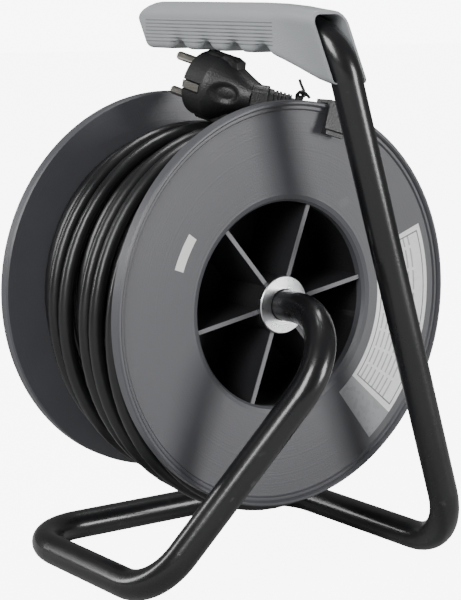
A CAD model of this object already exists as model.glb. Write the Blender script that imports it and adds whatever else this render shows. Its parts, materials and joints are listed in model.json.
"""Looks for the extension cord reel: wound cord, grip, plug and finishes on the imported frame."""
import bpy
import json
import math
from mathutils import Matrix, Vector


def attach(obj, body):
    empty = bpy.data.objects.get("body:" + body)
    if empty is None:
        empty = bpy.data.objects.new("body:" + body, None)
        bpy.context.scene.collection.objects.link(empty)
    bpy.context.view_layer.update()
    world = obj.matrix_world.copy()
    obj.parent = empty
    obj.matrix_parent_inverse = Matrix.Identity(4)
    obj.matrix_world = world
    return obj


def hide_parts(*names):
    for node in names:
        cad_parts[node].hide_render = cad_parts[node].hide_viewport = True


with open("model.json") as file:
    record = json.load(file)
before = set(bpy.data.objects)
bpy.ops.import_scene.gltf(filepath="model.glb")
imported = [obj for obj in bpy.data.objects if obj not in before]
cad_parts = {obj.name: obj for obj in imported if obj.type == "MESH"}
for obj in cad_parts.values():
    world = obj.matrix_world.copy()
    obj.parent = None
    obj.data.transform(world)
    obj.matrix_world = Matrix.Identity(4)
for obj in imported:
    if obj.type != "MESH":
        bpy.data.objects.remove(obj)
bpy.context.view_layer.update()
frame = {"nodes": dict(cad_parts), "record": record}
nodes = frame["nodes"]
bpy.ops.object.select_all(action="DESELECT")

# ------------------------------------------------------------------ sizes, in metres
AXLE_Z = 0.145
CORD_D = 0.0078
TURN_POINTS = 16
TURN_PULL = 0.981
FLOOR_SEEN = 7.6
SKY_SEEN = 8.2
SKY_LIGHT = 0.14
LABEL_RADII = (0.0625, 0.0960)
LABEL_ANGLES = (-54.0, 22.0)
LAMINATE_ANGLE = 0.19
ROW_PITCH = 0.0032
RIDGE_PITCH = 0.00185
RIDGE_HEIGHTS = (0.2770, 0.2895)
RIDGE_RUN = (-0.056, 0.057)
RIDGE_SIDE = 0.0090


# ------------------------------------------------------------------ camera, floor, light
def add_camera():
    data = bpy.data.cameras.new("camera")
    data.sensor_fit = "AUTO"
    data.sensor_width = 36.0
    data.lens = 111.1
    data.shift_x = 0.0076
    data.shift_y = 0.0470
    camera = bpy.data.objects.new("camera", data)
    bpy.context.scene.collection.objects.link(camera)
    azimuth = math.radians(-36.07)
    elevation = math.radians(10.42)
    target = Vector((0.0, -0.0013, 0.1252))
    back = Vector((
        math.sin(azimuth) * math.cos(elevation),
        -math.cos(azimuth) * math.cos(elevation),
        math.sin(elevation),
    ))
    camera.location = target + back * 0.9981
    camera.rotation_euler = (-back).to_track_quat("-Z", "Y").to_euler()
    bpy.context.scene.camera = camera


def add_softbox(name, place, aim, width, height, watts, tint=(1, 1, 1)):
    data = bpy.data.lights.new(name, "AREA")
    data.shape = "RECTANGLE"
    data.size = width
    data.size_y = height
    data.energy = watts
    data.color = tint
    lamp = bpy.data.objects.new(name, data)
    bpy.context.scene.collection.objects.link(lamp)
    lamp.location = place
    lamp.rotation_euler = (Vector(aim) - Vector(place)).to_track_quat("-Z", "Y").to_euler()


def seen_only(tree, low, high):
    """Strength that is high where it is looked at directly and low as light on the object."""
    path = tree.nodes.new("ShaderNodeLightPath")
    spread = tree.nodes.new("ShaderNodeMapRange")
    spread.inputs["To Min"].default_value = low
    spread.inputs["To Max"].default_value = high
    tree.links.new(path.outputs["Is Camera Ray"], spread.inputs["Value"])
    return spread.outputs["Result"]


def add_studio():
    bpy.ops.mesh.primitive_plane_add(size=14, location=(0, 0, 0))
    floor = bpy.context.object
    floor.name = "studio_floor"
    paper = bpy.data.materials.new("studio_paper")
    paper.use_nodes = True
    shader = paper.node_tree.nodes["Principled BSDF"]
    shader.inputs["Base Color"].default_value = (0.42, 0.42, 0.42, 1)
    shader.inputs["Roughness"].default_value = 0.9
    shader.inputs["Specular IOR Level"].default_value = 0.0
    shader.inputs["Emission Color"].default_value = (1, 1, 1, 1)
    glow = seen_only(paper.node_tree, 0.0, FLOOR_SEEN)
    paper.node_tree.links.new(glow, shader.inputs["Emission Strength"])
    floor.data.materials.append(paper)
    world = bpy.data.worlds.new("studio_world")
    world.use_nodes = True
    background = world.node_tree.nodes["Background"]
    background.inputs["Color"].default_value = (1, 1, 1, 1)
    sky = seen_only(world.node_tree, SKY_LIGHT, SKY_SEEN)
    world.node_tree.links.new(sky, background.inputs["Strength"])
    bpy.context.scene.world = world
    add_softbox("key_light", (-1.5, -0.8, 1.1), (0, 0, 0.14), 0.7, 1.2, 38)
    add_softbox("side_light", (-1.2, 1.3, 0.8), (0, 0, 0.14), 0.35, 1.1, 12)
    add_softbox("front_light", (0.80, -1.45, 0.25), (0, 0, 0.14), 0.55, 0.8, 21)
    add_softbox("top_light", (0.3, 0.3, 1.9), (0, 0, 0.14), 0.7, 0.9, 20)


add_camera()
add_studio()


# ------------------------------------------------------------------ effect groups
def new_group(name, ins, outs):
    group = bpy.data.node_groups.new(name, "ShaderNodeTree")
    for socket_name, kind, value in ins:
        socket = group.interface.new_socket(socket_name, in_out="INPUT", socket_type=kind)
        if value is not None:
            socket.default_value = value
    for socket_name, kind in outs:
        group.interface.new_socket(socket_name, in_out="OUTPUT", socket_type=kind)
    return group, group.nodes.new("NodeGroupInput"), group.nodes.new("NodeGroupOutput")


def make_moulded_grain():
    """Fine pebbled skin of moulded plastic, with slow changes of tone."""
    group, ins, outs = new_group(
        "moulded_grain",
        [
            ("Grain Scale", "NodeSocketFloat", 900.0),
            ("Dark", "NodeSocketColor", (0.02, 0.02, 0.02, 1)),
            ("Light", "NodeSocketColor", (0.03, 0.03, 0.03, 1)),
            ("Rough Low", "NodeSocketFloat", 0.35),
            ("Rough High", "NodeSocketFloat", 0.5),
        ],
        [("Color", "NodeSocketColor"), ("Roughness", "NodeSocketFloat"), ("Height", "NodeSocketFloat")],
    )
    link = group.links.new
    place = group.nodes.new("ShaderNodeTexCoord")
    fine = group.nodes.new("ShaderNodeTexVoronoi")
    fine.feature = "SMOOTH_F1"
    fine.inputs["Smoothness"].default_value = 0.6
    link(place.outputs["Object"], fine.inputs["Vector"])
    link(ins.outputs["Grain Scale"], fine.inputs["Scale"])
    cloud = group.nodes.new("ShaderNodeTexNoise")
    cloud.inputs["Scale"].default_value = 26.0
    cloud.inputs["Detail"].default_value = 5.0
    cloud.inputs["Roughness"].default_value = 0.62
    link(place.outputs["Object"], cloud.inputs["Vector"])
    tone = group.nodes.new("ShaderNodeMix")
    tone.data_type = "RGBA"
    link(cloud.outputs["Fac"], tone.inputs[0])
    link(ins.outputs["Dark"], tone.inputs[6])
    link(ins.outputs["Light"], tone.inputs[7])
    link(tone.outputs[2], outs.inputs["Color"])
    rough = group.nodes.new("ShaderNodeMapRange")
    rough.inputs["From Min"].default_value = 0.3
    rough.inputs["From Max"].default_value = 0.7
    link(cloud.outputs["Fac"], rough.inputs["Value"])
    link(ins.outputs["Rough Low"], rough.inputs["To Min"])
    link(ins.outputs["Rough High"], rough.inputs["To Max"])
    link(rough.outputs["Result"], outs.inputs["Roughness"])
    link(fine.outputs["Distance"], outs.inputs["Height"])
    return group


def make_scuffs():
    """Sparse thin scratches and rubbed spots: a mask that is 1 on a scratch."""
    group, ins, outs = new_group(
        "scuffs",
        [("Scale", "NodeSocketFloat", 60.0), ("Amount", "NodeSocketFloat", 0.5)],
        [("Mask", "NodeSocketFloat")],
    )
    link = group.links.new
    place = group.nodes.new("ShaderNodeTexCoord")
    turn = group.nodes.new("ShaderNodeMapping")
    turn.inputs["Rotation"].default_value = (0.5, 0.9, 0.3)
    turn.inputs["Scale"].default_value = (1.0, 0.06, 1.0)
    link(place.outputs["Object"], turn.inputs["Vector"])
    thin = group.nodes.new("ShaderNodeTexNoise")
    thin.inputs["Detail"].default_value = 3.0
    link(turn.outputs["Vector"], thin.inputs["Vector"])
    link(ins.outputs["Scale"], thin.inputs["Scale"])
    patch = group.nodes.new("ShaderNodeTexNoise")
    patch.inputs["Scale"].default_value = 17.0
    patch.inputs["Detail"].default_value = 4.0
    link(place.outputs["Object"], patch.inputs["Vector"])
    line = group.nodes.new("ShaderNodeMapRange")
    line.inputs["From Min"].default_value = 0.66
    line.inputs["From Max"].default_value = 0.72
    link(thin.outputs["Fac"], line.inputs["Value"])
    where = group.nodes.new("ShaderNodeMapRange")
    where.inputs["From Min"].default_value = 0.5
    where.inputs["From Max"].default_value = 0.62
    link(patch.outputs["Fac"], where.inputs["Value"])
    both = group.nodes.new("ShaderNodeMath")
    both.operation = "MULTIPLY"
    link(line.outputs["Result"], both.inputs[0])
    link(where.outputs["Result"], both.inputs[1])
    scaled = group.nodes.new("ShaderNodeMath")
    scaled.operation = "MULTIPLY"
    link(both.outputs["Value"], scaled.inputs[0])
    link(ins.outputs["Amount"], scaled.inputs[1])
    link(scaled.outputs["Value"], outs.inputs["Mask"])
    return group


def make_turned_marks():
    """Rings about the drum's axis, as a lathe or a polished mould leaves them."""
    group, ins, outs = new_group(
        "turned_marks",
        [("Ring Scale", "NodeSocketFloat", 700.0)],
        [("Height", "NodeSocketFloat")],
    )
    link = group.links.new
    place = group.nodes.new("ShaderNodeTexCoord")
    centre = group.nodes.new("ShaderNodeMapping")
    centre.inputs["Location"].default_value = (0, 0, -AXLE_Z)
    centre.inputs["Scale"].default_value = (1, 0, 1)
    link(place.outputs["Object"], centre.inputs["Vector"])
    radius = group.nodes.new("ShaderNodeVectorMath")
    radius.operation = "LENGTH"
    link(centre.outputs["Vector"], radius.inputs[0])
    noise = group.nodes.new("ShaderNodeTexNoise")
    noise.noise_dimensions = "1D"
    noise.inputs["Detail"].default_value = 3.0
    link(radius.outputs["Value"], noise.inputs["W"])
    link(ins.outputs["Ring Scale"], noise.inputs["Scale"])
    link(noise.outputs["Fac"], outs.inputs["Height"])
    return group


MOULDED_GRAIN = make_moulded_grain()
SCUFFS = make_scuffs()
TURNED_MARKS = make_turned_marks()


# ------------------------------------------------------------------ materials
def use_group(tree, group, **values):
    node = tree.nodes.new("ShaderNodeGroup")
    node.node_tree = group
    for socket_name, value in values.items():
        node.inputs[socket_name.replace("_", " ")].default_value = value
    return node


def bump_from(tree, height, strength, distance, under=None):
    bump = tree.nodes.new("ShaderNodeBump")
    bump.inputs["Strength"].default_value = strength
    bump.inputs["Distance"].default_value = distance
    tree.links.new(height, bump.inputs["Height"])
    if under is not None:
        tree.links.new(under, bump.inputs["Normal"])
    return bump.outputs["Normal"]


def blank_material(name):
    material = bpy.data.materials.new(name)
    material.use_nodes = True
    return material, material.node_tree, material.node_tree.nodes["Principled BSDF"]


def mix_color(tree, mask, first, second):
    mix = tree.nodes.new("ShaderNodeMix")
    mix.data_type = "RGBA"
    tree.links.new(mask, mix.inputs[0])
    for index, value in ((6, first), (7, second)):
        if isinstance(value, tuple):
            mix.inputs[index].default_value = value
        else:
            tree.links.new(value, mix.inputs[index])
    return mix.outputs[2]


def math_node(tree, operation, first, second):
    node = tree.nodes.new("ShaderNodeMath")
    node.operation = operation
    for socket, value in zip(node.inputs, (first, second)):
        if isinstance(value, (int, float)):
            socket.default_value = value
        else:
            tree.links.new(value, socket)
    return node.outputs["Value"]


def band(tree, value, low, high):
    """1 between low and high, 0 outside."""
    above = math_node(tree, "GREATER_THAN", value, low)
    below = math_node(tree, "LESS_THAN", value, high)
    return math_node(tree, "MULTIPLY", above, below)


def moulded_plastic(
    name, dark, light, rough, grain_scale, grain_depth, scuff=0.3, scuff_tone=0.12,
):
    material, tree, shader = blank_material(name)
    grain = use_group(
        tree, MOULDED_GRAIN, Grain_Scale=grain_scale, Dark=(*dark, 1), Light=(*light, 1),
        Rough_Low=rough[0], Rough_High=rough[1],
    )
    scuffs = use_group(tree, SCUFFS, Scale=85.0, Amount=scuff)
    tone = (scuff_tone, scuff_tone, scuff_tone, 1)
    worn = mix_color(tree, scuffs.outputs["Mask"], grain.outputs["Color"], tone)
    tree.links.new(worn, shader.inputs["Base Color"])
    tree.links.new(grain.outputs["Roughness"], shader.inputs["Roughness"])
    normal = bump_from(tree, grain.outputs["Height"], 0.35, grain_depth)
    tree.links.new(normal, shader.inputs["Normal"])
    return material


def gloss_paint():
    """Black paint on steel tube, with a little orange peel and rubbed spots."""
    material, tree, shader = blank_material("black_gloss_paint")
    grain = use_group(
        tree, MOULDED_GRAIN, Grain_Scale=420.0, Dark=(0.006, 0.006, 0.007, 1),
        Light=(0.011, 0.011, 0.012, 1),
        Rough_Low=0.24, Rough_High=0.33,
    )
    scuffs = use_group(tree, SCUFFS, Scale=120.0, Amount=0.35)
    worn = mix_color(tree, scuffs.outputs["Mask"], grain.outputs["Color"], (0.10, 0.10, 0.10, 1))
    tree.links.new(worn, shader.inputs["Base Color"])
    tree.links.new(grain.outputs["Roughness"], shader.inputs["Roughness"])
    tree.links.new(bump_from(tree, grain.outputs["Height"], 0.12, 0.0003), shader.inputs["Normal"])
    shader.inputs["Coat Weight"].default_value = 0.35
    shader.inputs["Coat Roughness"].default_value = 0.12
    return material


def flange_plastic():
    """Charcoal satin polystyrene with faint rings from the mould."""
    material, tree, shader = blank_material("flange_charcoal")
    grain = use_group(
        tree, MOULDED_GRAIN, Grain_Scale=1300.0, Dark=(0.066, 0.067, 0.075, 1),
        Light=(0.080, 0.081, 0.090, 1),
        Rough_Low=0.36, Rough_High=0.44,
    )
    scuffs = use_group(tree, SCUFFS, Scale=70.0, Amount=0.25)
    worn = mix_color(tree, scuffs.outputs["Mask"], grain.outputs["Color"], (0.12, 0.12, 0.13, 1))
    tree.links.new(worn, shader.inputs["Base Color"])
    tree.links.new(grain.outputs["Roughness"], shader.inputs["Roughness"])
    rings = use_group(tree, TURNED_MARKS, Ring_Scale=900.0)
    under = bump_from(tree, rings.outputs["Height"], 0.10, 0.0004)
    normal = bump_from(tree, grain.outputs["Height"], 0.15, 0.0002, under)
    tree.links.new(normal, shader.inputs["Normal"])
    return material


def plated_metal(name, color, rough, mark_scale=1500.0):
    material, tree, shader = blank_material(name)
    place = tree.nodes.new("ShaderNodeTexCoord")
    cloud = tree.nodes.new("ShaderNodeTexNoise")
    cloud.inputs["Scale"].default_value = 240.0
    cloud.inputs["Detail"].default_value = 5.0
    tree.links.new(place.outputs["Object"], cloud.inputs["Vector"])
    darker = tuple(0.72 * c for c in color)
    clouded = mix_color(tree, cloud.outputs["Fac"], (*darker, 1), (*color, 1))
    tree.links.new(clouded, shader.inputs["Base Color"])
    spread = tree.nodes.new("ShaderNodeMapRange")
    spread.inputs["To Min"].default_value = rough[0]
    spread.inputs["To Max"].default_value = rough[1]
    tree.links.new(cloud.outputs["Fac"], spread.inputs["Value"])
    tree.links.new(spread.outputs["Result"], shader.inputs["Roughness"])
    shader.inputs["Metallic"].default_value = 1.0
    rings = use_group(tree, TURNED_MARKS, Ring_Scale=mark_scale)
    tree.links.new(bump_from(tree, rings.outputs["Height"], 0.25, 0.0001), shader.inputs["Normal"])
    return material


def label_film():
    """White film with a thin border, plain rows and a clear laminated end."""
    material, tree, shader = blank_material("label_white_film")
    place = tree.nodes.new("ShaderNodeTexCoord")
    split = tree.nodes.new("ShaderNodeSeparateXYZ")
    tree.links.new(place.outputs["Object"], split.inputs["Vector"])
    height = math_node(tree, "SUBTRACT", split.outputs["Z"], AXLE_Z)
    across = math_node(tree, "POWER", split.outputs["X"], 2.0)
    square = math_node(tree, "ADD", across, math_node(tree, "POWER", height, 2.0))
    radius = math_node(tree, "SQRT", square, 0.0)
    angle = math_node(tree, "ARCTAN2", height, split.outputs["X"])
    inner, outer = LABEL_RADII
    start, finish = (math.radians(a) for a in LABEL_ANGLES)
    laminate = math_node(tree, "LESS_THAN", angle, start + LAMINATE_ANGLE)
    inside = math_node(
        tree, "MULTIPLY", band(tree, radius, inner + 0.0022, outer - 0.0022),
        band(tree, angle, start + LAMINATE_ANGLE + 0.035, finish - 0.03),
    )
    core = math_node(
        tree, "MULTIPLY", band(tree, radius, inner + 0.0028, outer - 0.0028),
        band(tree, angle, start + LAMINATE_ANGLE + 0.043, finish - 0.038),
    )
    border = math_node(tree, "SUBTRACT", inside, core)
    row = math_node(tree, "FRACT", math_node(tree, "MULTIPLY", radius, 1 / ROW_PITCH), 0.0)
    row = math_node(tree, "LESS_THAN", row, 0.30)
    run = math_node(tree, "FRACT", math_node(tree, "MULTIPLY", angle, 7.0), 0.0)
    run = math_node(tree, "LESS_THAN", run, 0.86)
    rows = math_node(tree, "MULTIPLY", math_node(tree, "MULTIPLY", row, run), core)
    rows = math_node(tree, "MULTIPLY", rows, math_node(tree, "LESS_THAN", radius, outer - 0.008))
    ink = math_node(tree, "MAXIMUM", border, math_node(tree, "MULTIPLY", rows, 0.6))
    film = mix_color(tree, laminate, (0.90, 0.90, 0.90, 1), (0.30, 0.31, 0.32, 1))
    tree.links.new(mix_color(tree, ink, film, (0.09, 0.09, 0.10, 1)), shader.inputs["Base Color"])
    cloud = tree.nodes.new("ShaderNodeTexNoise")
    cloud.inputs["Scale"].default_value = 320.0
    tree.links.new(place.outputs["Object"], cloud.inputs["Vector"])
    spread = tree.nodes.new("ShaderNodeMapRange")
    spread.inputs["To Min"].default_value = 0.22
    spread.inputs["To Max"].default_value = 0.34
    tree.links.new(cloud.outputs["Fac"], spread.inputs["Value"])
    tree.links.new(spread.outputs["Result"], shader.inputs["Roughness"])
    return material


def grip_plastic():
    """Grey moulded grip: fine grain all over and close lengthwise ridges on the sides."""
    material = moulded_plastic(
        "grip_grey", (0.285, 0.300, 0.310), (0.315, 0.330, 0.340), (0.42, 0.52), 1500.0, 0.0003,
        0.2, 0.42,
    )
    tree = material.node_tree
    shader = tree.nodes["Principled BSDF"]
    place = tree.nodes.new("ShaderNodeTexCoord")
    split = tree.nodes.new("ShaderNodeSeparateXYZ")
    tree.links.new(place.outputs["Object"], split.inputs["Vector"])
    phase = math_node(tree, "MULTIPLY", split.outputs["Z"], 2 * math.pi / RIDGE_PITCH)
    wave = math_node(tree, "SINE", phase, 0.0)
    zone = math_node(
        tree, "MULTIPLY", band(tree, split.outputs["Z"], *RIDGE_HEIGHTS),
        band(tree, split.outputs["Y"], *RIDGE_RUN),
    )
    away = math_node(tree, "ABSOLUTE", split.outputs["X"], 0.0)
    side = math_node(tree, "GREATER_THAN", away, RIDGE_SIDE)
    height = math_node(tree, "MULTIPLY", wave, math_node(tree, "MULTIPLY", zone, side))
    under = shader.inputs["Normal"].links[0].from_socket
    tree.links.new(bump_from(tree, height, 0.8, 0.0003, under), shader.inputs["Normal"])
    return material


def cord_pvc():
    """Black PVC sheath: smooth, with a slight drawn grain and dull rubbed places."""
    material, tree, shader = blank_material("cord_pvc_black")
    grain = use_group(
        tree, MOULDED_GRAIN, Grain_Scale=260.0, Dark=(0.007, 0.007, 0.008, 1),
        Light=(0.013, 0.013, 0.014, 1),
        Rough_Low=0.27, Rough_High=0.42,
    )
    tree.links.new(grain.outputs["Color"], shader.inputs["Base Color"])
    tree.links.new(grain.outputs["Roughness"], shader.inputs["Roughness"])
    tree.links.new(bump_from(tree, grain.outputs["Height"], 0.10, 0.0002), shader.inputs["Normal"])
    return material


def rib_plastic(edge_y):
    """The flange's charcoal at the ribs' front edges, darker on their sides."""
    material, tree, shader = blank_material("rib_charcoal")
    grain = use_group(
        tree, MOULDED_GRAIN, Grain_Scale=1300.0, Dark=(0.012, 0.012, 0.014, 1),
        Light=(0.018, 0.018, 0.020, 1),
        Rough_Low=0.42, Rough_High=0.52,
    )
    place = tree.nodes.new("ShaderNodeTexCoord")
    split = tree.nodes.new("ShaderNodeSeparateXYZ")
    tree.links.new(place.outputs["Object"], split.inputs["Vector"])
    edge = math_node(tree, "LESS_THAN", split.outputs["Y"], edge_y)
    tone = mix_color(tree, edge, grain.outputs["Color"], (0.16, 0.16, 0.17, 1))
    tree.links.new(tone, shader.inputs["Base Color"])
    tree.links.new(grain.outputs["Roughness"], shader.inputs["Roughness"])
    tree.links.new(bump_from(tree, grain.outputs["Height"], 0.15, 0.0002), shader.inputs["Normal"])
    return material


FINISHES = {
    "black_paint": gloss_paint(),
    "grip_plastic": grip_plastic(),
    "zinc": plated_metal("bright_zinc", (0.82, 0.83, 0.85), (0.22, 0.36)),
    "black_plastic": moulded_plastic(
        "black_satin_plastic", (0.010, 0.010, 0.011), (0.018, 0.018, 0.019),
        (0.34, 0.46), 1100.0, 0.0003,
    ),
    "flange_plastic": flange_plastic(),
    "bush_plastic": moulded_plastic(
        "bush_acetal", (0.62, 0.60, 0.55), (0.70, 0.68, 0.62),
        (0.35, 0.45), 900.0, 0.0002, 0.1, 0.4,
    ),
    "socket_plastic": moulded_plastic(
        "socket_black", (0.012, 0.012, 0.013), (0.022, 0.022, 0.023),
        (0.30, 0.40), 1400.0, 0.0002,
    ),
    "contact_brass": plated_metal("contact_brass", (0.80, 0.60, 0.28), (0.25, 0.4)),
    "contact_nickel": plated_metal("contact_nickel", (0.86, 0.82, 0.74), (0.16, 0.28)),
    "lead_pvc": moulded_plastic(
        "lead_blue", (0.02, 0.08, 0.40), (0.03, 0.10, 0.48),
        (0.35, 0.45), 500.0, 0.0001, 0.0,
    ),
    "label_film": label_film(),
    "label_paper": moulded_plastic(
        "sticker_white", (0.78, 0.78, 0.76), (0.84, 0.84, 0.82),
        (0.5, 0.6), 900.0, 0.00005, 0.0,
    ),
    "plug_pvc": moulded_plastic(
        "plug_pvc_black", (0.010, 0.010, 0.011), (0.017, 0.017, 0.018),
        (0.40, 0.52), 1300.0, 0.0004, 0.2, 0.08,
    ),
    "cord_pvc": cord_pvc(),
    "tie_pvc": moulded_plastic(
        "tie_black", (0.012, 0.012, 0.012), (0.02, 0.02, 0.02),
        (0.35, 0.5), 900.0, 0.0002,
    ),
    "button_plastic": moulded_plastic(
        "button_red", (0.42, 0.015, 0.012), (0.52, 0.02, 0.015),
        (0.25, 0.35), 700.0, 0.0001, 0.1, 0.5,
    ),
}


def set_finish(piece, material):
    piece.data.materials.clear()
    piece.data.materials.append(material)


for subpart in frame["record"]["subparts"]:
    if subpart["node"] in nodes:
        set_finish(nodes[subpart["node"]], FINISHES[subpart["material_slot"]])
rib_front = min(vert.co.y for vert in nodes["drum_ribs"].data.vertices)
set_finish(nodes["drum_ribs"], rib_plastic(rib_front + 0.0006))


# ------------------------------------------------------------------ skins shaped ring by ring
def ringed_tube(name, segments, rings):
    """A closed tube of quads along Z, and its vertices by ring and spoke."""
    bpy.ops.object.select_all(action="DESELECT")
    bpy.ops.mesh.primitive_cylinder_add(vertices=segments, radius=1, depth=2, end_fill_type="NGON")
    piece = bpy.context.object
    piece.name = name
    piece.data.name = name
    bpy.ops.object.mode_set(mode="EDIT")
    bpy.ops.mesh.select_mode(type="EDGE")
    bpy.ops.mesh.select_all(action="DESELECT")
    bpy.ops.object.mode_set(mode="OBJECT")
    verts = piece.data.vertices
    for edge in piece.data.edges:
        start, end = (verts[i].co for i in edge.vertices)
        edge.select = abs(start.z - end.z) > 1
    bpy.ops.object.mode_set(mode="EDIT")
    bpy.ops.mesh.subdivide(number_cuts=rings - 2)
    bpy.ops.object.mode_set(mode="OBJECT")
    found = {}
    for vert in piece.data.vertices:
        ring = round((vert.co.z + 1) / 2 * (rings - 1))
        turn = (math.atan2(vert.co.y, vert.co.x) - math.pi / 2) / (2 * math.pi)
        spoke = round(turn * segments) % segments
        found[ring, spoke] = vert
    return piece, found


def finish_piece(piece, body, slot, angle=35):
    bpy.ops.object.select_all(action="DESELECT")
    bpy.context.view_layer.objects.active = piece
    piece.select_set(True)
    bpy.ops.object.mode_set(mode="EDIT")
    bpy.ops.mesh.select_all(action="SELECT")
    bpy.ops.mesh.normals_make_consistent(inside=False)
    bpy.ops.object.mode_set(mode="OBJECT")
    bpy.ops.object.shade_smooth_by_angle(angle=math.radians(angle))
    set_finish(piece, FINISHES[slot])
    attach(piece, body)
    return piece


def along(keys, value):
    """Straight runs between (value, result) keys, held level past both ends."""
    if value <= keys[0][0]:
        return keys[0][1]
    for (v0, r0), (v1, r1) in zip(keys, keys[1:]):
        if value <= v1:
            return r0 + (r1 - r0) * (value - v0) / (v1 - v0)
    return keys[-1][1]


def ease(t):
    t = min(1.0, max(0.0, t))
    return t * t * (3 - 2 * t)


# ------------------------------------------------------------------ grip, in millimetres until placed
GRIP_HALF = 11.5
GRIP_TOP_ROUND = 6.8
GRIP_FOOT_ROUND = 3.0
FINGER_CENTRES = [26.6, 2.3, -22.0, -46.3]
FINGER_HALF = 8.4
FINGER_DEPTH = 4.4
SCOOP_REACH = 15.0
SCOOP_SHARE = 0.75
UNDERSIDE = [
    (-93.5, 259.0), (-86.0, 259.7), (-80.0, 261.4), (-74.0, 264.3), (-68.0, 267.3),
    (-61.0, 270.3), (-54.5, 272.6), (-40.0, 273.4), (60.0, 273.6),
]
TOPSIDE = [(-94.0, 294.6), (-72.0, 296.9), (-50.0, 298.0), (-30.0, 298.4), (60.0, 298.4)]
LEG_LEAN = 88.0 / 278.0
GRIP_SIDES = 14
GRIP_FLATS = 7
GRIP_CORNERS = 5


def grip_outline(width, top, bottom, top_round, bottom_round):
    """Points round the grip's section from the right side's foot, anticlockwise: (x, z)."""
    points = []
    corners = [
        (width - bottom_round, bottom + bottom_round, bottom_round, -90),
        (width - top_round, top - top_round, top_round, 0),
        (-width + top_round, top - top_round, top_round, 90),
        (-width + bottom_round, bottom + bottom_round, bottom_round, 180),
    ]
    counts = [GRIP_SIDES, GRIP_FLATS, GRIP_SIDES, GRIP_FLATS]
    for index, (x, z, r, start) in enumerate(corners):
        for i in range(GRIP_CORNERS):
            angle = math.radians(start + 90 * i / (GRIP_CORNERS - 1))
            points.append((x + r * math.cos(angle), z + r * math.sin(angle)))
        x2, z2, r2, start2 = corners[(index + 1) % 4]
        begin = points[-1]
        angle = math.radians(start2)
        finish = (x2 + r2 * math.cos(angle), z2 + r2 * math.sin(angle))
        for i in range(1, counts[index] + 1):
            t = i / (counts[index] + 1)
            points.append(tuple(b + (f - b) * t for b, f in zip(begin, finish)))
    return points


def grip_end_y(z):
    if z > 289:
        return 65.5 - 0.145 * (z - 289) ** 2
    return 65.5 - 0.60 * (289 - z)


def grip_mouth_y(z):
    return -88.8 - 0.14 * (291.7 - z)


def grip_place(share, inset, mouth_depth=0.0):
    """Ring of the grip's skin: share 0 at the hand end, 1 at the mouth."""
    y_mid = grip_end_y(274) + share * (grip_mouth_y(274) - grip_end_y(274)) + mouth_depth
    groove = 0.0
    for centre in FINGER_CENTRES:
        away = abs(y_mid - centre) / FINGER_HALF
        if away < 1:
            groove = max(groove, FINGER_DEPTH * math.cos(away * math.pi / 2) ** 1.3)
    top = along(TOPSIDE, y_mid) - inset
    bottom = along(UNDERSIDE, y_mid) + groove + inset * (1.0 if mouth_depth == 0 else 0.5)
    top_round = max(GRIP_TOP_ROUND - inset, 0.8)
    bottom_round = max(GRIP_FOOT_ROUND - inset, 0.6)
    outline = grip_outline(GRIP_HALF - inset, top, bottom, top_round, bottom_round)
    lean = LEG_LEAN * ease((-48.0 - y_mid) / 38.0)
    ring = []
    for x, z in outline:
        y = grip_end_y(z) + share * (grip_mouth_y(z) - grip_end_y(z)) + mouth_depth
        side_scoop = 0.0
        reach = (z - (bottom - groove)) / SCOOP_REACH
        if groove > 0 and reach < 1:
            side_scoop = SCOOP_SHARE * groove * (1 - reach) ** 1.5
        shrink = 1 - side_scoop / GRIP_HALF
        ring.append((x * shrink + lean * (286.0 - z), y, z))
    return ring


def make_grip():
    outer = 92
    inner = 9
    sections = 2 * (GRIP_SIDES + GRIP_FLATS) + 4 * GRIP_CORNERS
    piece, found = ringed_tube("carry_grip", sections, outer + inner)
    end_rounds = [(0.0, 2.4), (0.0012, 1.3), (0.004, 0.5), (0.0085, 0.12)]
    mouth_rounds = [(0.9975, 0.1), (1.0, 0.55)]
    shares = list(end_rounds)
    body = outer - len(end_rounds) - len(mouth_rounds)
    shares += [(0.014 + (0.993 - 0.014) * i / (body - 1), 0.0) for i in range(body)]
    shares += mouth_rounds
    rings = [grip_place(share, inset) for share, inset in shares]
    for i in range(inner):
        depth = 0.3 + 21.0 * (i / (inner - 1)) ** 1.2
        rings.append(grip_place(1.0, 1.7 if i == 0 else 2.3, depth))
    for ring_index, ring in enumerate(rings):
        for spoke, place in enumerate(ring):
            found[ring_index, spoke].co = Vector(place) * 0.001
    finish_piece(piece, "frame", "grip_plastic", angle=50)
    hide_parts("grip")
    return piece


# ------------------------------------------------------------------ plug, strain relief and tie
FACE_POINT = Vector((-0.3, 20.0, 256.2))
HEAD_AZIMUTH = math.radians(16)
HEAD_TILT = math.radians(14)
HEAD_DIR = Vector((
    -math.sin(HEAD_AZIMUTH) * math.cos(HEAD_TILT),
    math.cos(HEAD_AZIMUTH) * math.cos(HEAD_TILT),
    math.sin(HEAD_TILT),
))
HEAD_SIDE = Vector((math.cos(HEAD_AZIMUTH), math.sin(HEAD_AZIMUTH), 0))
HEAD_UP = HEAD_SIDE.cross(HEAD_DIR)
HEAD_PROFILE = [
    (0, 16.6), (0.4, 17.2), (1.0, 17.4), (13.0, 17.4), (15.0, 16.9), (20.0, 14.9), (27.0, 12.2),
    (34.0, 9.6), (38.6, 8.2),
]
RELIEF_START = Vector((11.8, -14.4, 248.6))
RELIEF_DIR = Vector((0.76, -0.63, -0.17)).normalized()


def smooth_box(value, half, soft):
    """1 inside half, falling to 0 over soft."""
    return 1 - ease((abs(value) - half) / soft)


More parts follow.
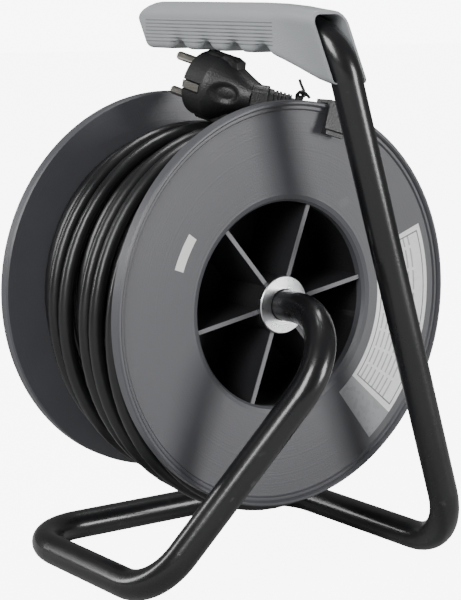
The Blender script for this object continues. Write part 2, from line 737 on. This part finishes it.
def plug_radius(run, angle):
    """Radius of the plug's skin, run millimetres behind its face, at an angle from its side."""
    size = along(HEAD_PROFILE, run)
    flat = along([(0, 1.0), (13, 1.0), (38.6, 0.84)], run)
    radius = size * (1 - (1 - flat) * math.sin(angle) ** 2)
    across = size * math.sin(angle)
    upward = size * math.cos(angle)
    # raised guide blocks above and below, each with a groove
    guide = smooth_box(upward, 3.6, 0.5) * smooth_box(run - 13.0, 10.5, 0.8)
    groove = smooth_box(upward, 1.2, 0.4) * smooth_box(run - 13.0, 9.2, 0.8)
    lift = max(0.0, 18.6 - size) if run > 13 else 1.2
    radius += guide * min(lift, 3.4) - groove * 1.9
    # seats for the earth strips at both sides
    radius -= 2.0 * smooth_box(across, 2.3, 0.35) * smooth_box(run - 3.0, 8.2, 0.5)
    # thumb dishes at both sides
    dish = math.hypot((run - 25.0) / 8.6, across / 6.4)
    radius -= 2.3 * (1 - ease((dish - 0.55) / 0.45))
    return radius


def make_plug_body():
    segments = 144
    stations = [0.0, 0.0, 0.4, 1.0, 1.8] + [2.2 + 0.42 * i for i in range(87)] + [38.9, 39.1]
    piece, found = ringed_tube("plug_body_skin", segments, len(stations))
    end = RELIEF_START
    start_axis = -HEAD_DIR
    path_axis = (end - FACE_POINT).normalized()
    length = (end - FACE_POINT).length
    for ring, run in enumerate(stations):
        blend = ease((run - 10.0) / 14.0)
        centre = FACE_POINT + start_axis * run
        bent = FACE_POINT + path_axis * run * length / 39.1
        centre = centre.lerp(bent, blend)
        for spoke in range(segments):
            angle = 2 * math.pi * spoke / segments
            radius = plug_radius(run, angle)
            if ring == 0:
                radius *= 0.55
            if ring >= len(stations) - 1:
                radius -= 1.0
            place = centre + (HEAD_SIDE * math.cos(angle) + HEAD_UP * math.sin(angle)) * radius
            found[ring, spoke].co = place * 0.001
    finish_piece(piece, "drum", "plug_pvc", angle=42)
    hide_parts("plug_body")
    return piece


def make_strain_relief():
    segments = 64
    run_end = 17.0
    stations = [-4.0] + [-3.6 + 0.27 * i for i in range(77)] + [run_end + 0.1]
    piece, found = ringed_tube("plug_strain_relief_skin", segments, len(stations))
    side = RELIEF_DIR.cross(Vector((0, 0, 1))).normalized()
    up = side.cross(RELIEF_DIR)
    for ring, run in enumerate(stations):
        taper = along([(-4, 6.9), (4.6, 7.2), (5.2, 6.2), (17.0, 4.9)], run)
        if run > 6.2 and (run - 6.2) % 2.1 > 1.35 and run < 16.2:
            taper -= 0.75
        if ring in (0, len(stations) - 1):
            taper -= 0.7
        for spoke in range(segments):
            angle = 2 * math.pi * spoke / segments
            square = 1.0
            if run < 5.0:
                square = min(1.16, 1.0 / max(abs(math.cos(angle)), abs(math.sin(angle))))
            place = RELIEF_START + RELIEF_DIR * run
            place = place + (side * math.cos(angle) + up * math.sin(angle)) * taper * square
            found[ring, spoke].co = place * 0.001
    finish_piece(piece, "drum", "plug_pvc", angle=28)
    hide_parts("plug_strain_relief")
    return piece


TIE_TURN_R = 4.75
KNOT_LOOPS = [
    (1.3, 0.4, 0.9), (0.4, 1.6, 1.5), (-1.4, 0.6, 1.9), (-0.6, -1.3, 2.6), (1.2, -0.4, 3.0),
    (0.5, 0.9, 3.6),
]


def make_tie():
    """Black wire tie: two turns round the cord, a knot of two crossed lumps and two ends."""
    centre = RELIEF_START + RELIEF_DIR * 20.5
    side = RELIEF_DIR.cross(Vector((0, 0, 1))).normalized()
    up = side.cross(RELIEF_DIR)
    path = []
    turns = 2.2
    count = 40
    for i in range(count + 1):
        angle = math.radians(80) + 2 * math.pi * turns * i / count
        shift = -1.3 + 2.8 * i / count
        out = side * math.cos(angle) + up * math.sin(angle)
        path.append(centre + RELIEF_DIR * shift + out * TIE_TURN_R)
    knot = path[-1] + up * 1.6
    for x, y, z in KNOT_LOOPS:
        path.append(knot + side * x + RELIEF_DIR * y + up * z)
    end = path[-1]
    for x, y, z in [(-0.3, -1.2, 1.6), (-0.9, -2.6, 3.6), (-1.8, -3.6, 5.6)]:
        path.append(end + side * x + RELIEF_DIR * y + up * z)
    first = path[0]
    lift = first + side * 1.6 + up * 3.1 + RELIEF_DIR * 2.0
    join = first + side * 0.8 + up * 1.6 + RELIEF_DIR * 0.6
    tip = lift + RELIEF_DIR * 5.2 - up * 3.0
    bend = lift + RELIEF_DIR * 2.6 - up * 0.6
    path = [tip, bend, lift, join] + path
    data = bpy.data.curves.new("wire_tie", "CURVE")
    data.dimensions = "3D"
    data.bevel_depth = 0.00085
    data.bevel_resolution = 3
    data.resolution_u = 4
    data.use_fill_caps = True
    spline = data.splines.new("NURBS")
    spline.points.add(len(path) - 1)
    for point, place in zip(spline.points, path):
        point.co = (*(place * 0.001), 1.0)
    spline.order_u = 3
    spline.use_endpoint_u = True
    tie = bpy.data.objects.new("wire_tie", data)
    bpy.context.scene.collection.objects.link(tie)
    bpy.ops.object.select_all(action="DESELECT")
    bpy.context.view_layer.objects.active = tie
    tie.select_set(True)
    bpy.ops.object.convert(target="MESH")
    tie = bpy.context.object
    tie.name = "wire_tie"
    finish_piece(tie, "drum", "tie_pvc")
    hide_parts("twist_tie")
    return tie


make_grip()
plug_skin = make_plug_body()
relief_skin = make_strain_relief()
wire_tie = make_tie()


# ------------------------------------------------------------------ cord on the drum
LAYER_RADII = [0.0604, 0.0671, 0.0738, 0.0805]
LAYER_ENDS = [(0.0420, -0.0460), (-0.0450, 0.0460), (0.0450, -0.0460), (-0.0450, 0.0455)]
TURN_PITCH = 0.0081
# each loose turn: place along the axis, half width, half height, drop below the axle
LOOSE_TURNS = [
    (0.0270, 0.0895, 0.0905, 0.0040),
    (0.0150, 0.0905, 0.0935, 0.0070),
    (-0.0045, 0.0905, 0.0950, 0.0085),
    (-0.0135, 0.0900, 0.0965, 0.0100),
    (-0.0305, 0.0908, 0.0975, 0.0108),
    (-0.0450, 0.0905, 0.0965, 0.0098),
]
TAIL_ROUTE = [
    (0.0905, -0.0410, 0.1650),
    (0.0805, -0.0420, 0.1960),
    (0.0630, -0.0425, 0.2210),
    (0.0440, -0.0385, 0.2365),
    (0.02473, -0.02512, 0.24571),
    (0.01890, -0.02030, 0.24700),
]


def turn_point(degrees, y, half_width, half_height, drop):
    angle = math.radians(degrees)
    return (
        half_width / TURN_PULL * math.cos(angle),
        y,
        AXLE_Z - drop + half_height / TURN_PULL * math.sin(angle),
    )


def cord_points():
    points = [(-0.004, 0.0420, 0.0846), (0.004, 0.0420, 0.0846)]
    step = 360.0 / TURN_POINTS
    degrees = -90.0 + step
    previous = None
    for radius, (start, end) in zip(LAYER_RADII, LAYER_ENDS):
        turns = abs(end - start) / TURN_PITCH
        count = round(turns * TURN_POINTS)
        for i in range(count):
            y = start + (end - start) * i / count
            grow = radius if previous is None else previous + (radius - previous) * ease(i / 6)
            points.append(turn_point(degrees, y, grow, grow, 0.0))
            degrees += step
        previous = radius
    # loose turns: each holds its place on the seen side and moves over on the far right
    while (degrees % 360.0) > step:
        points.append(turn_point(degrees, end, previous, previous, 0.0))
        degrees += step
    last = (end, previous, previous, 0.0)
    for turn in LOOSE_TURNS:
        for i in range(TURN_POINTS):
            t = ease(i / 4.0)
            now = [a + (b - a) * t for a, b in zip(last, turn)]
            points.append(turn_point(degrees, *now))
            degrees += step
        last = turn
    return points[:] + list(TAIL_ROUTE)


def wind_cord():
    data = bpy.data.curves.new("wound_cord", "CURVE")
    data.dimensions = "3D"
    data.resolution_u = 4
    data.bevel_depth = CORD_D / 2
    data.bevel_resolution = 4
    data.use_fill_caps = True
    spline = data.splines.new("NURBS")
    points = cord_points()
    spline.points.add(len(points) - 1)
    for point, place in zip(spline.points, points):
        point.co = (*place, 1.0)
    spline.order_u = 3
    spline.use_endpoint_u = True
    cord = bpy.data.objects.new("wound_cord", data)
    bpy.context.scene.collection.objects.link(cord)
    data.materials.append(FINISHES["cord_pvc"])
    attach(cord, "drum")
    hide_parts("cable_winding", "cable_tail")
    return cord


wound_cord = wind_cord()
